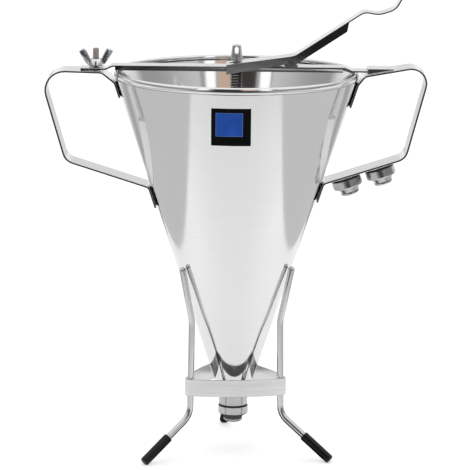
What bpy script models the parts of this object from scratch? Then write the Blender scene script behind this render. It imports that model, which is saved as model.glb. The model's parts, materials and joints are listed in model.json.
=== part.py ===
"""Piston funnel of sheet steel: cone with two strap handles, a sprung piston worked by a lever on a bar
over the mouth, one nozzle on the spout, two spare nozzles under a handle, and a tripod stand.

The axis of the cone is Z, the handles lie along X, the front is -Y and the stand's feet rest at Z = 0.
"""

import math

import bmesh
import bpy
from mathutils import Matrix, Vector

MM = 0.001

# Fits
GAP = 0.3 * MM
OVERRUN = 2.0 * MM
WELD_STEP = 0.05 * MM
SLIDING_CLEARANCE = 0.5 * MM
ARC_STEP = math.radians(15.0)
ROUND_SIDES = 32
SMALL_SIDES = 20

# Cone
RIM_TOP = 288.0 * MM
RIM_RADIUS = 90.0 * MM
RIM_BAND_HEIGHT = 5.0 * MM
RIM_BAND_DEPTH = 2.0 * MM
RIM_BAND_PROUD = 1.0 * MM
CONE_LENGTH = 243.5 * MM
CONE_END_RADIUS = 11.0 * MM
CONE_SHEET = 0.9 * MM
CONE_SIDES = 72

# Spout collar, with the seat that the piston closes
COLLAR_RADIUS = 10.6 * MM
COLLAR_LENGTH = 8.0 * MM
SEAT_MOUTH_RADIUS = 9.8 * MM
SEAT_DEPTH = 4.5 * MM
SPOUT_BORE_RADIUS = 6.5 * MM
THREAD_RADIUS = 8.8 * MM
THREAD_LENGTH = 6.2 * MM

# Nozzles and their seals
NOZZLE_RADIUS = 11.1 * MM
NOZZLE_RING_HEIGHT = 6.4 * MM
NOZZLE_CHAMFER = 1.0 * MM
NOZZLE_SOCKET_DEPTH = 5.6 * MM
NOZZLE_FUNNEL_DEPTH = 1.6 * MM
NECK_TOP_RADIUS = 8.1 * MM
NECK_END_RADIUS = 6.5 * MM
NECK_HEIGHT = 3.6 * MM
LIP_RADIUS = 7.0 * MM
LIP_END_RADIUS = 5.8 * MM
LIP_HEIGHT = 1.9 * MM
OUTLET_RADII = {"fitted": 4.5 * MM, "inner": 3.4 * MM, "outer": 2.4 * MM}
SEAL_THICKNESS = 0.8 * MM
SEAL_RADIUS = 10.7 * MM
BOSS_FLANGE_THICKNESS = 0.8 * MM
BOSS_FLANGE_RADIUS = 10.2 * MM

# Strap handles: reaches are from the cone's axis, what stands proud or inset is from the rim's edge,
# and drops are from the rim's top
STRAP_WIDTH = 27.0 * MM
STRAP_THICKNESS = 1.5 * MM
STRAP_NECK_DROP = 8.5 * MM
STRAP_NECK_BEND = 5.0 * MM
STRAP_ROOT_BEND = 4.0 * MM
STRAP_LOW_BEND = 10.0 * MM
LEFT_NECK_PROUD = 8.5 * MM
LEFT_NECK_LIFT = -0.9 * MM
LEFT_TOP_PROUD = 54.6 * MM
LEFT_TOP_LIFT = 0.2 * MM
LEFT_TOP_BEND = 14.0 * MM
LEFT_LOW_PROUD = 35.1 * MM
LEFT_LOW_DROP = 66.4 * MM
LEFT_ROOT_DROP = 85.9 * MM
LEFT_UPPER_TAB_DROP = 19.5 * MM
LEFT_LOWER_TAB_DROP = 101.2 * MM
RIGHT_NECK_PROUD = 4.0 * MM
RIGHT_NECK_LIFT = -1.9 * MM
RIGHT_TOP_PROUD = 53.0 * MM
RIGHT_TOP_LIFT = 7.1 * MM
RIGHT_TOP_BEND = 11.0 * MM
RIGHT_LOW_PROUD = 34.8 * MM
RIGHT_LOW_DROP = 62.4 * MM
RIGHT_ROOT_DROP = 81.8 * MM
RIGHT_UPPER_TAB_DROP = 25.1 * MM
RIGHT_LOWER_TAB_DROP = 95.8 * MM
INNER_BOSS_INSET = 9.2 * MM
OUTER_BOSS_PROUD = 15.2 * MM
LEFT_NECK_REACH = RIM_RADIUS + LEFT_NECK_PROUD
LEFT_TOP_REACH = RIM_RADIUS + LEFT_TOP_PROUD
LEFT_LOW_REACH = RIM_RADIUS + LEFT_LOW_PROUD
RIGHT_NECK_REACH = RIM_RADIUS + RIGHT_NECK_PROUD
RIGHT_TOP_REACH = RIM_RADIUS + RIGHT_TOP_PROUD
RIGHT_LOW_REACH = RIM_RADIUS + RIGHT_LOW_PROUD
BOSS_REACHES = {"inner": RIM_RADIUS - INNER_BOSS_INSET, "outer": RIM_RADIUS + OUTER_BOSS_PROUD}

# Cross bar: a channel with a flat tongue at each end
BAR_WIDTH = 15.4 * MM
BAR_SHEET = 1.2 * MM
BAR_TOP_LIFT = 4.0 * MM
BAR_FLANGE_LIFT = 0.3 * MM
BAR_LEFT_PROUD = 1.0 * MM
BAR_RIGHT_INSET = 10.0 * MM
TONGUE_LIFT = 0.5 * MM
TONGUE_RAMP = 5.0 * MM
TONGUE_LEFT_PROUD = 24.3 * MM
TONGUE_RIGHT_PROUD = 9.5 * MM
TONGUE_BEND = 2.0 * MM
BAR_LEFT_REACH = RIM_RADIUS + BAR_LEFT_PROUD
BAR_RIGHT_REACH = RIM_RADIUS - BAR_RIGHT_INSET
TONGUE_LEFT_REACH = RIM_RADIUS + TONGUE_LEFT_PROUD
TONGUE_RIGHT_REACH = RIM_RADIUS + TONGUE_RIGHT_PROUD

# Keeper loop on the right strap
KEEPER_PROUD = 6.0 * MM
KEEPER_LENGTH = 20.0 * MM
KEEPER_SHEET = 1.2 * MM
KEEPER_CLEARANCE = 0.6 * MM
KEEPER_REACH = RIM_RADIUS + KEEPER_PROUD

# Stud, washer and wing nut
STUD_PROUD = 13.3 * MM
STUD_RADIUS = 2.45 * MM
STUD_TOP_LIFT = 15.7 * MM
STUD_CHAMFER = 0.6 * MM
WASHER_RADIUS = 5.3 * MM
WASHER_THICKNESS = 1.0 * MM
NUT_BASE_RADIUS = 5.2 * MM
NUT_TOP_RADIUS = 4.1 * MM
NUT_HEIGHT = 4.9 * MM
WING_HALF_WIDTH = 2.9 * MM
WING_HALF_LENGTH = 6.6 * MM
WING_REACH = 7.7 * MM
WING_LIFT = 6.0 * MM
WING_LEAN = math.radians(27.0)
WING_THICKNESS = 2.6 * MM
WING_POWER = 2.6
WING_TURN = math.radians(12.0)
STUD_REACH = RIM_RADIUS + STUD_PROUD

# Lever: a channel that straddles the bar, with a curved thumb rest
LEVER_WIDTH = 18.4 * MM
LEVER_SHEET = 1.0 * MM
LEVER_END_REACH = 7.5 * MM
LEVER_REST_ANGLE = math.radians(8.1)
LEVER_KINK_REACH = 42.5 * MM
LEVER_KINK_BEND = 12.0 * MM
LEVER_ARM_ANGLE = math.radians(33.4)
LEVER_FLANGE_END = 82.0 * MM
LEVER_FLANGE_HEIGHT = 6.6 * MM
LEVER_FLANGE_END_HEIGHT = 5.4 * MM
LEVER_LUG_RADIUS = 3.3 * MM
CREST_REACH = 93.0 * MM
CREST_BEND = 9.0 * MM
HOLLOW_REACH = 103.8 * MM
HOLLOW_LIFT = 43.2 * MM
HOLLOW_BEND = 13.0 * MM
THUMB_REACH = 115.8 * MM
THUMB_LIFT = 47.2 * MM
THUMB_BEND = 11.0 * MM
THUMB_END_REACH = 121.6 * MM
THUMB_END_LIFT = 58.0 * MM
PIVOT_REACH = 40.0 * MM
PIVOT_LIFT = 6.6 * MM
PIVOT_RADIUS = 1.5 * MM
PIVOT_HEAD_RADIUS = 2.3 * MM
PIVOT_HEAD_THICKNESS = 0.7 * MM
SLOT_BACK = 5.6 * MM
SLOT_FRONT = 3.8 * MM

# Bracket on the bar that carries the pivot pin
BRACKET_LENGTH = 9.6 * MM
BRACKET_WIDTH = 13.0 * MM
BRACKET_SHEET = 1.0 * MM
BRACKET_EAR_RADIUS = 3.0 * MM

# Piston: rod, knob, collar, plug and return spring
ROD_RADIUS = 2.5 * MM
KNOB_BASE_RADIUS = 4.6 * MM
KNOB_WAIST_RADIUS = 4.4 * MM
KNOB_TOP_RADIUS = 3.4 * MM
KNOB_BASE_HEIGHT = 1.4 * MM
KNOB_HEIGHT = 10.8 * MM
KNOB_ROUNDING = 1.4 * MM
KNOB_SOCKET_DEPTH = 3.2 * MM
KNOB_EYE_RADIUS = 1.4 * MM
KNOB_EYE_LOW = 5.4 * MM
KNOB_EYE_HIGH = 8.1 * MM
KNOB_WASHER_RADIUS = 4.2 * MM
KNOB_WASHER_THICKNESS = 0.8 * MM
SPRING_WASHER_RADIUS = 6.0 * MM
SPRING_WIRE_RADIUS = 0.5 * MM
SPRING_RADIUS = 3.9 * MM
SPRING_LENGTH = 50.0 * MM
SPRING_CURLS = 24
SPRING_POINTS_PER_CURL = 10
STOP_RADIUS = 5.0 * MM
STOP_HEIGHT = 5.0 * MM
PLUG_SEAL_THICKNESS = 1.2 * MM
PLUG_NOSE_LENGTH = 3.6 * MM
PLUG_EDGE_HEIGHT = 1.2 * MM
PLUG_SHOULDER_HEIGHT = 5.0 * MM
PLUG_NECK_RADIUS = 4.2 * MM
PLUG_NECK_HEIGHT = 6.0 * MM
PLUG_SOCKET_DEPTH = 7.0 * MM

# Label on the front of the cone
LABEL_WIDTH = 28.5 * MM
LABEL_TOP_DROP = 15.4 * MM
LABEL_HEIGHT = 28.0 * MM
LABEL_THICKNESS = 0.4 * MM
LABEL_SHIFT = 3.5 * MM
LABEL_COLUMNS = 6

# Stand: reaches are from the cone's axis, heights from the table
LEG_COUNT = 3
STAND_TURN = math.radians(95.0)
LEG_RADIUS = 2.5 * MM
LEG_TOP_HEIGHT = 145.5 * MM
LEG_WAIST_REACH = 37.8 * MM
LEG_WAIST_HEIGHT = 103.0 * MM
LEG_WAIST_BEND = 30.0 * MM
LEG_LOW_REACH = 39.0 * MM
LEG_LOW_BEND = 14.0 * MM
LEG_FOOT_REACH = 80.0 * MM
LEG_FOOT_ANGLE = math.radians(36.5)
LEG_NAMES = ("rear", "front_left", "front_right")
LEG_DOME_SHARES = (0.35, 0.75, 0.95, 1.0)
CAP_RADIUS = 3.5 * MM
CAP_LENGTH = 27.0 * MM
CAP_END = 4.0 * MM
CAP_CHAMFER = 1.0 * MM
CAP_FLAT_DEPTH = 0.4 * MM
BAND_HEIGHT = 12.8 * MM
BAND_THICKNESS = 1.2 * MM
BAND_BASE = 47.6 * MM
BAND_SIDE_RADIUS = 140.0 * MM
BAND_STEP = math.radians(3.0)


def clear_scene():
    for thing in list(bpy.data.objects):
        bpy.data.objects.remove(thing, do_unlink=True)


def new_collection(name):
    collection = bpy.data.collections.new(name)
    bpy.context.scene.collection.children.link(collection)
    return collection


clear_scene()
PARTS = new_collection("piston_funnel")
CUTTERS = new_collection("cutters")


def material(name, colour, roughness, metallic):
    made = bpy.data.materials.new(name)
    made.use_nodes = True
    shader = made.node_tree.nodes["Principled BSDF"]
    shader.inputs["Base Color"].default_value = (*colour, 1.0)
    shader.inputs["Roughness"].default_value = roughness
    shader.inputs["Metallic"].default_value = metallic
    return made


POLISHED = material("polished_steel", (0.80, 0.80, 0.81), 0.16, 1.0)
BRUSHED = material("brushed_steel", (0.66, 0.66, 0.67), 0.34, 1.0)
WIRE = material("wire_steel", (0.72, 0.72, 0.73), 0.24, 1.0)
SPRING_WIRE = material("spring_wire", (0.30, 0.31, 0.33), 0.30, 1.0)
RUBBER = material("seal_rubber", (0.04, 0.04, 0.04), 0.62, 0.0)
VINYL = material("black_vinyl", (0.02, 0.02, 0.024), 0.30, 0.0)
PRINT = material("label_print", (0.02, 0.04, 0.16), 0.45, 0.0)


# Building blocks
def add_object(name, data, finish, collection=PARTS):
    thing = bpy.data.objects.new(name, data)
    collection.objects.link(thing)
    if finish:
        data.materials.append(finish)
    if collection is CUTTERS:
        thing.hide_render = True
        thing.display_type = "WIRE"
    return thing


def mesh_from(name, shape):
    mesh = bpy.data.meshes.new(name)
    bmesh.ops.recalc_face_normals(shape, faces=shape.faces)
    shape.to_mesh(mesh)
    shape.free()
    return mesh


def box(name, low, high, finish=None, collection=CUTTERS):
    shape = bmesh.new()
    bmesh.ops.create_cube(shape, size=1.0)
    size = Vector(high) - Vector(low)
    middle = (Vector(high) + Vector(low)) / 2
    bmesh.ops.scale(shape, vec=size, verts=shape.verts)
    bmesh.ops.translate(shape, vec=middle, verts=shape.verts)
    return add_object(name, mesh_from(name, shape), finish, collection)


def cylinder(name, radius, start, end, sides=SMALL_SIDES, collection=CUTTERS, finish=None):
    """A round bar between two points."""
    start = Vector(start)
    along = Vector(end) - start
    shape = bmesh.new()
    bmesh.ops.create_cone(
        shape, cap_ends=True, segments=sides, radius1=radius, radius2=radius, depth=along.length
    )
    turn = along.to_track_quat("Z", "Y").to_matrix().to_4x4()
    bmesh.ops.transform(shape, matrix=turn, verts=shape.verts)
    bmesh.ops.translate(shape, vec=start + along / 2, verts=shape.verts)
    return add_object(name, mesh_from(name, shape), finish, collection)


def combine(target, other, operation):
    """Cuts the other object from the target, or joins it."""
    step = target.modifiers.new(other.name, "BOOLEAN")
    step.operation = operation
    step.object = other
    step.solver = "EXACT"


def turned(name, profile, finish, sides=ROUND_SIDES, closed=False, collection=PARTS):
    """A turned solid. The profile holds (radius, height), down the outer side first."""
    mesh = bpy.data.meshes.new(name)
    count = len(profile)
    edges = [(i, i + 1) for i in range(count - 1)]
    if closed:
        edges.append((count - 1, 0))
    mesh.from_pydata([(radius, 0.0, height) for radius, height in profile], edges, [])
    thing = add_object(name, mesh, finish, collection)
    screw = thing.modifiers.new("turn", "SCREW")
    screw.axis = "Z"
    screw.angle = math.tau
    screw.steps = sides
    screw.render_steps = sides
    screw.use_merge_vertices = True
    screw.merge_threshold = GAP / sides
    screw.use_smooth_shade = True
    return thing


def ring_profile(inner, outer, low, high):
    return [(outer, high), (outer, low), (inner, low), (inner, high)]


def arc(centre, radius, start, end, step=ARC_STEP):
    """Points on an arc, from one angle to another, both ends among them."""
    count = max(2, math.ceil(abs(end - start) / step))
    angles = [start + (end - start) * i / count for i in range(count + 1)]
    return [Vector(centre) + radius * Vector((math.cos(a), math.sin(a))) for a in angles]


def rounded_path(corners):
    """The path through corners (across, up, bend radius), with each bend as an arc."""
    points = [Vector(corners[0][:2])]
    for before, here, after in zip(corners, corners[1:], corners[2:]):
        corner = Vector(here[:2])
        back = (Vector(before[:2]) - corner).normalized()
        ahead = (Vector(after[:2]) - corner).normalized()
        turn = math.pi - back.angle(ahead)
        side = math.copysign(1.0, ahead.cross(back))
        centre = corner + (back + ahead).normalized() * here[2] / math.cos(turn / 2)
        first = corner + back * here[2] * math.tan(turn / 2) - centre
        start = math.atan2(first.y, first.x)
        points += arc(centre, here[2], start, start + side * turn)
    points.append(Vector(corners[-1][:2]))
    return points


def strip(name, path, width, thickness, finish, collection=PARTS):
    """A flat strap bent along a path in the XZ plane."""
    shape = bmesh.new()
    rows = [[shape.verts.new((p.x, side * width / 2, p.y)) for side in (-1, 1)] for p in path]
    for here, ahead in zip(rows, rows[1:]):
        shape.faces.new((here[0], here[1], ahead[1], ahead[0]))
    thing = add_object(name, mesh_from(name, shape), finish, collection)
    solid = thing.modifiers.new("thickness", "SOLIDIFY")
    solid.thickness = thickness
    solid.offset = 0.0
    solid.use_even_offset = True
    return thing


def as_mesh(curve_object, collection, finish=None):
    """Turns a curve object into a mesh object of the same name and place."""
    bpy.context.view_layer.update()
    graph = bpy.context.evaluated_depsgraph_get()
    mesh = bpy.data.meshes.new_from_object(curve_object.evaluated_get(graph))
    shape = bmesh.new()
    shape.from_mesh(mesh)
    bmesh.ops.remove_doubles(shape, verts=shape.verts, dist=WELD_STEP / ROUND_SIDES)
    shape.to_mesh(mesh)
    shape.free()
    mesh.materials.clear()
    name = curve_object.name
    place = curve_object.matrix_world.copy()
    bpy.data.objects.remove(curve_object, do_unlink=True)
    thing = add_object(name, mesh, finish, collection)
    thing.matrix_world = place
    return thing


def plate(name, outline, middle, thickness, collection=CUTTERS, finish=None):
    """A flat plate with its outline in the XZ plane and its middle at the given Y."""
    curve = bpy.data.curves.new(name, "CURVE")
    curve.dimensions = "2D"
    curve.fill_mode = "BOTH"
    curve.extrude = thickness / 2
    spline = curve.splines.new("POLY")
    spline.points.add(len(outline) - 1)
    spline.use_cyclic_u = True
    for point, place in zip(spline.points, outline):
        point.co = (place[0], place[1], 0.0, 1.0)
    thing = bpy.data.objects.new(name, curve)
    PARTS.objects.link(thing)
    thing.location = (0.0, middle, 0.0)
    thing.rotation_euler = (math.pi / 2, 0.0, 0.0)
    return as_mesh(thing, collection, finish)


def tube(name, points, radius, finish, resolution, shares=None):
    """A round wire through the points, with closed ends."""
    curve = bpy.data.curves.new(name, "CURVE")
    curve.dimensions = "3D"
    curve.bevel_depth = radius
    curve.bevel_resolution = resolution
    curve.use_fill_caps = True
    spline = curve.splines.new("POLY")
    spline.points.add(len(points) - 1)
    for i, (point, place) in enumerate(zip(spline.points, points)):
        point.co = (*place, 1.0)
        point.radius = shares[i] if shares else 1.0
    return add_object(name, curve, finish)


# Sizes that several pieces share
CONE_END = RIM_TOP - CONE_LENGTH
CONE_TOP_RADIUS = RIM_RADIUS - RIM_BAND_PROUD
CONE_SLOPE = (CONE_TOP_RADIUS - CONE_END_RADIUS) / (CONE_LENGTH - RIM_BAND_HEIGHT)
CONE_LEAN = math.atan(CONE_SLOPE)
CONE_WALL = CONE_SHEET / math.cos(CONE_LEAN)


def cone_radius(height):
    """The cone's outer radius at a height above the table."""
    return CONE_END_RADIUS + (height - CONE_END) * CONE_SLOPE


COLLAR_TOP = CONE_END - GAP
COLLAR_SHOULDER = COLLAR_TOP - COLLAR_LENGTH
SOCKET_RADIUS = THREAD_RADIUS + GAP
ROD_BORE_RADIUS = ROD_RADIUS + GAP
ROD_HOLE_RADIUS = ROD_RADIUS + SLIDING_CLEARANCE
STRAP_STAND_OFF = (STRAP_THICKNESS / 2 + GAP) / math.cos(CONE_LEAN)
BAR_TOP = RIM_TOP + BAR_TOP_LIFT
TONGUE_BASE = RIM_TOP + TONGUE_LIFT
TONGUE_TOP = TONGUE_BASE + BAR_SHEET
LEVER_ROOF_END = BAR_TOP + GAP + LEVER_SHEET / 2
PIVOT_HEIGHT = RIM_TOP + PIVOT_LIFT


# Cone, collar and nozzles
def make_cone():
    half_band = RIM_BAND_DEPTH / 2
    band_inner = RIM_RADIUS - RIM_BAND_DEPTH
    band_middle = RIM_RADIUS - half_band
    crown = arc((band_middle, RIM_TOP - half_band), half_band, math.pi, 0.0)
    curl_height = RIM_TOP - RIM_BAND_HEIGHT
    curl = arc((CONE_TOP_RADIUS, curl_height + RIM_BAND_PROUD), RIM_BAND_PROUD, 0.0, -math.pi / 2)
    inner_end = CONE_END_RADIUS - CONE_WALL
    band_foot = CONE_END + (band_inner - inner_end) / CONE_SLOPE
    profile = [tuple(p) for p in crown + curl]
    profile += [(CONE_END_RADIUS, CONE_END), (inner_end, CONE_END), (band_inner, band_foot)]
    return turned("funnel_cone", profile, POLISHED, CONE_SIDES, closed=True)


def make_collar():
    thread_end = COLLAR_SHOULDER - THREAD_LENGTH
    profile = [
        (COLLAR_RADIUS, COLLAR_TOP),
        (COLLAR_RADIUS, COLLAR_SHOULDER),
        (THREAD_RADIUS, COLLAR_SHOULDER),
        (THREAD_RADIUS, thread_end),
        (SPOUT_BORE_RADIUS, thread_end),
        (SPOUT_BORE_RADIUS, COLLAR_TOP - SEAT_DEPTH),
        (SEAT_MOUTH_RADIUS, COLLAR_TOP),
    ]
    return turned("spout_collar", profile, BRUSHED, closed=True)


def place(thing, seat, axis):
    """Puts a piece that was turned downwards from its origin at a seat, along an axis."""
    turn = (-Vector(axis)).to_track_quat("Z", "Y").to_matrix().to_4x4()
    thing.matrix_world = Matrix.Translation(seat) @ turn
    return thing


def make_nozzle(name, outlet, seat, axis):
    """A nozzle and its seal on a threaded end whose shoulder is at the seat."""
    seal = turned(
        "seal_" + name, ring_profile(SOCKET_RADIUS, SEAL_RADIUS, -GAP - SEAL_THICKNESS, -GAP), RUBBER,
        closed=True,
    )
    top = -GAP - SEAL_THICKNESS - GAP
    ring_end = top - NOZZLE_RING_HEIGHT
    neck_end = ring_end - NECK_HEIGHT
    lip_end = neck_end - LIP_HEIGHT
    floor = top - NOZZLE_SOCKET_DEPTH
    profile = [
        (NOZZLE_RADIUS, top),
        (NOZZLE_RADIUS, ring_end + NOZZLE_CHAMFER),
        (NOZZLE_RADIUS - NOZZLE_CHAMFER, ring_end),
        (NECK_TOP_RADIUS, ring_end),
        (NECK_END_RADIUS, neck_end),
        (LIP_RADIUS, neck_end),
        (LIP_RADIUS, neck_end - LIP_HEIGHT / 2),
        (LIP_END_RADIUS, lip_end),
        (outlet, lip_end),
        (outlet, floor - NOZZLE_FUNNEL_DEPTH),
        (SOCKET_RADIUS, floor),
        (SOCKET_RADIUS, top),
    ]
    nozzle = turned("nozzle_" + name, profile, BRUSHED, closed=True)
    for piece in (seal, nozzle):
        place(piece, seat, axis)


def make_boss(name, seat, axis):
    """A threaded boss under a strap, with its flange towards the strap."""
    flange_end = -GAP - BOSS_FLANGE_THICKNESS
    profile = [
        (0.0, -GAP),
        (BOSS_FLANGE_RADIUS, -GAP),
        (BOSS_FLANGE_RADIUS, flange_end),
        (THREAD_RADIUS, flange_end),
        (THREAD_RADIUS, flange_end - NOZZLE_SOCKET_DEPTH),
        (0.0, flange_end - NOZZLE_SOCKET_DEPTH),
    ]
    place(turned("boss_" + name, profile, BRUSHED), seat, axis)
    return Vector(seat) + Vector(axis).normalized() * (GAP + BOSS_FLANGE_THICKNESS)


# Handles
def on_cone(side, drop):
    """A point of a strap's middle line where the strap lies along the cone."""
    return side * (cone_radius(RIM_TOP - drop) + STRAP_STAND_OFF), RIM_TOP - drop


def left_run_height(reach):
    """Height of the left strap's middle along its top run."""
    rise = (LEFT_TOP_LIFT - LEFT_NECK_LIFT) / (LEFT_TOP_REACH - LEFT_NECK_REACH)
    return RIM_TOP + LEFT_NECK_LIFT + (reach - LEFT_NECK_REACH) * rise


def right_run_height(reach):
    """Height of the right strap's middle along its top run."""
    rise = (RIGHT_TOP_LIFT - RIGHT_NECK_LIFT) / (RIGHT_TOP_REACH - RIGHT_NECK_REACH)
    return RIM_TOP + RIGHT_NECK_LIFT + (reach - RIGHT_NECK_REACH) * rise


def make_left_handle():
    corners = [
        (*on_cone(-1, LEFT_UPPER_TAB_DROP), 0.0),
        (*on_cone(-1, STRAP_NECK_DROP), STRAP_NECK_BEND),
        (-LEFT_NECK_REACH, left_run_height(LEFT_NECK_REACH), STRAP_NECK_BEND),
        (-LEFT_TOP_REACH, left_run_height(LEFT_TOP_REACH), LEFT_TOP_BEND),
        (-LEFT_LOW_REACH, RIM_TOP - LEFT_LOW_DROP, STRAP_LOW_BEND),
        (*on_cone(-1, LEFT_ROOT_DROP), STRAP_ROOT_BEND),
        (*on_cone(-1, LEFT_LOWER_TAB_DROP), 0.0),
    ]
    strip("left_handle", rounded_path(corners), STRAP_WIDTH, STRAP_THICKNESS, BRUSHED)


def make_right_handle():
    corners = [
        (*on_cone(1, RIGHT_UPPER_TAB_DROP), 0.0),
        (*on_cone(1, STRAP_NECK_DROP), STRAP_NECK_BEND),
        (RIGHT_NECK_REACH, right_run_height(RIGHT_NECK_REACH), STRAP_NECK_BEND),
        (RIGHT_TOP_REACH, right_run_height(RIGHT_TOP_REACH), RIGHT_TOP_BEND),
        (RIGHT_LOW_REACH, RIM_TOP - RIGHT_LOW_DROP, STRAP_LOW_BEND),
        (*on_cone(1, RIGHT_ROOT_DROP), STRAP_ROOT_BEND),
        (*on_cone(1, RIGHT_LOWER_TAB_DROP), 0.0),
    ]
    handle = strip("right_handle", rounded_path(corners), STRAP_WIDTH, STRAP_THICKNESS, BRUSHED)
    inner_half = BAR_WIDTH / 2 + KEEPER_CLEARANCE
    outer_half = inner_half + KEEPER_SHEET
    roof_base = TONGUE_TOP + KEEPER_CLEARANCE
    mouth = KEEPER_REACH
    back = KEEPER_REACH + KEEPER_LENGTH
    outline = [
        (mouth, right_run_height(mouth)),
        (back, right_run_height(back)),
        (back, roof_base + KEEPER_SHEET / 2),
        (back - KEEPER_SHEET, roof_base + KEEPER_SHEET),
        (mouth, roof_base + KEEPER_SHEET),
    ]
    loop = plate("keeper_loop", outline, 0.0, 2 * outer_half)
    tunnel = box(
        "keeper_tunnel",
        (mouth - OVERRUN, -inner_half, RIM_TOP - OVERRUN),
        (back + OVERRUN, inner_half, roof_base),
    )
    combine(loop, tunnel, "DIFFERENCE")
    combine(handle, loop, "UNION")
    return handle


def strap_seat(reach):
    """The underside of the right strap's lower run at a distance from the axis, and its normal."""
    root_reach, root_height = on_cone(1, RIGHT_ROOT_DROP)
    root = Vector((root_reach, 0.0, root_height))
    low = Vector((RIGHT_LOW_REACH, 0.0, RIM_TOP - RIGHT_LOW_DROP))
    along = (low - root).normalized()
    down = Vector((along.z, 0.0, -along.x))
    middle = root + along * (reach - root.x) / along.x
    return middle + down * STRAP_THICKNESS / 2, down


# Bar, stud and wing nut
def make_cross_bar():
    roof_middle = BAR_TOP - BAR_SHEET / 2
    tongue_middle = TONGUE_BASE + BAR_SHEET / 2
    path = rounded_path(
        [
            (-TONGUE_LEFT_REACH, tongue_middle, 0.0),
            (-BAR_LEFT_REACH - TONGUE_RAMP, tongue_middle, TONGUE_BEND),
            (-BAR_LEFT_REACH, roof_middle, TONGUE_BEND),
            (BAR_RIGHT_REACH, roof_middle, TONGUE_BEND),
            (BAR_RIGHT_REACH + TONGUE_RAMP, tongue_middle, TONGUE_BEND),
            (TONGUE_RIGHT_REACH, tongue_middle, 0.0),
        ]
    )
    bar = strip("cross_bar", path, BAR_WIDTH, BAR_SHEET, BRUSHED)
    for side, label in ((-1, "front"), (1, "rear")):
        outer = side * (BAR_WIDTH / 2 - WELD_STEP)
        inner = side * (BAR_WIDTH / 2 - BAR_SHEET)
        low = (-BAR_LEFT_REACH + TONGUE_BEND, min(outer, inner), RIM_TOP + BAR_FLANGE_LIFT)
        high = (BAR_RIGHT_REACH - TONGUE_BEND, max(outer, inner), roof_middle)
        combine(bar, box("bar_flange_" + label, low, high), "UNION")
    under = RIM_TOP - OVERRUN
    over = BAR_TOP + OVERRUN
    stud_hole = cylinder(
        "stud_hole",
        STUD_RADIUS + SLIDING_CLEARANCE,
        (-STUD_REACH, 0.0, under),
        (-STUD_REACH, 0.0, over),
    )
    combine(bar, stud_hole, "DIFFERENCE")
    rod_hole = cylinder("rod_hole", ROD_HOLE_RADIUS, (0.0, 0.0, under), (0.0, 0.0, over))
    combine(bar, rod_hole, "DIFFERENCE")
    return bar


def make_stud():
    base = left_run_height(STUD_REACH + STUD_RADIUS) + STRAP_THICKNESS / 2 + GAP
    top = RIM_TOP + STUD_TOP_LIFT
    profile = [
        (0.0, top),
        (STUD_RADIUS - STUD_CHAMFER, top),
        (STUD_RADIUS, top - STUD_CHAMFER),
        (STUD_RADIUS, base),
        (0.0, base),
    ]
    turned("bar_stud", profile, BRUSHED, SMALL_SIDES).location.x = -STUD_REACH


def superellipse(half_across, half_up, power, count):
    """Points of a rounded oval, squarer as the power grows."""
    points = []
    for i in range(count):
        angle = math.tau * i / count
        across = math.copysign(abs(math.cos(angle)) ** (2 / power), math.cos(angle))
        up = math.copysign(abs(math.sin(angle)) ** (2 / power), math.sin(angle))
        points.append(Vector((half_across * across, half_up * up)))
    return points


def make_wing_nut():
    washer_base = TONGUE_TOP + GAP
    bore = STUD_RADIUS + GAP
    washer = turned(
        "stud_washer", ring_profile(bore, WASHER_RADIUS, washer_base, washer_base + WASHER_THICKNESS),
        POLISHED, SMALL_SIDES, closed=True,
    )
    washer.location.x = -STUD_REACH
    base = washer_base + WASHER_THICKNESS + GAP
    hub = [
        (0.0, base + NUT_HEIGHT),
        (NUT_TOP_RADIUS, base + NUT_HEIGHT),
        (NUT_BASE_RADIUS, base),
        (0.0, base),
    ]
    nut = turned("wing_nut", hub, POLISHED, SMALL_SIDES)
    for side, label in ((-1, "left"), (1, "right")):
        lean = Matrix.Rotation(-side * WING_LEAN, 2)
        centre = Vector((side * WING_REACH, base + WING_LIFT))
        oval = superellipse(WING_HALF_WIDTH, WING_HALF_LENGTH, WING_POWER, SMALL_SIDES)
        wing = plate("wing_" + label, [lean @ p + centre for p in oval], 0.0, WING_THICKNESS)
        combine(nut, wing, "UNION")
    bore_cut = cylinder(
        "nut_bore", bore, (0.0, 0.0, base - OVERRUN), (0.0, 0.0, base + NUT_HEIGHT + OVERRUN)
    )
    combine(nut, bore_cut, "DIFFERENCE")
    for piece in [nut] + [step.object for step in nut.modifiers if step.type == "BOOLEAN"]:
        piece.matrix_world = (
            Matrix.Translation((-STUD_REACH, 0.0, 0.0))
            @ Matrix.Rotation(WING_TURN, 4, "Z")
            @ piece.matrix_world
        )


# Lever
def lever_roof_height(reach):
    """Height of the middle of the lever's roof between its forked end and the kink."""
    return LEVER_ROOF_END + (reach + LEVER_END_REACH) * math.tan(LEVER_REST_ANGLE)


def lever_arm_height(reach):
    """Height of the middle of the lever's roof beyond the kink."""
    kink = lever_roof_height(LEVER_KINK_REACH)
    return kink + (reach - LEVER_KINK_REACH) * math.tan(LEVER_ARM_ANGLE)


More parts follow.
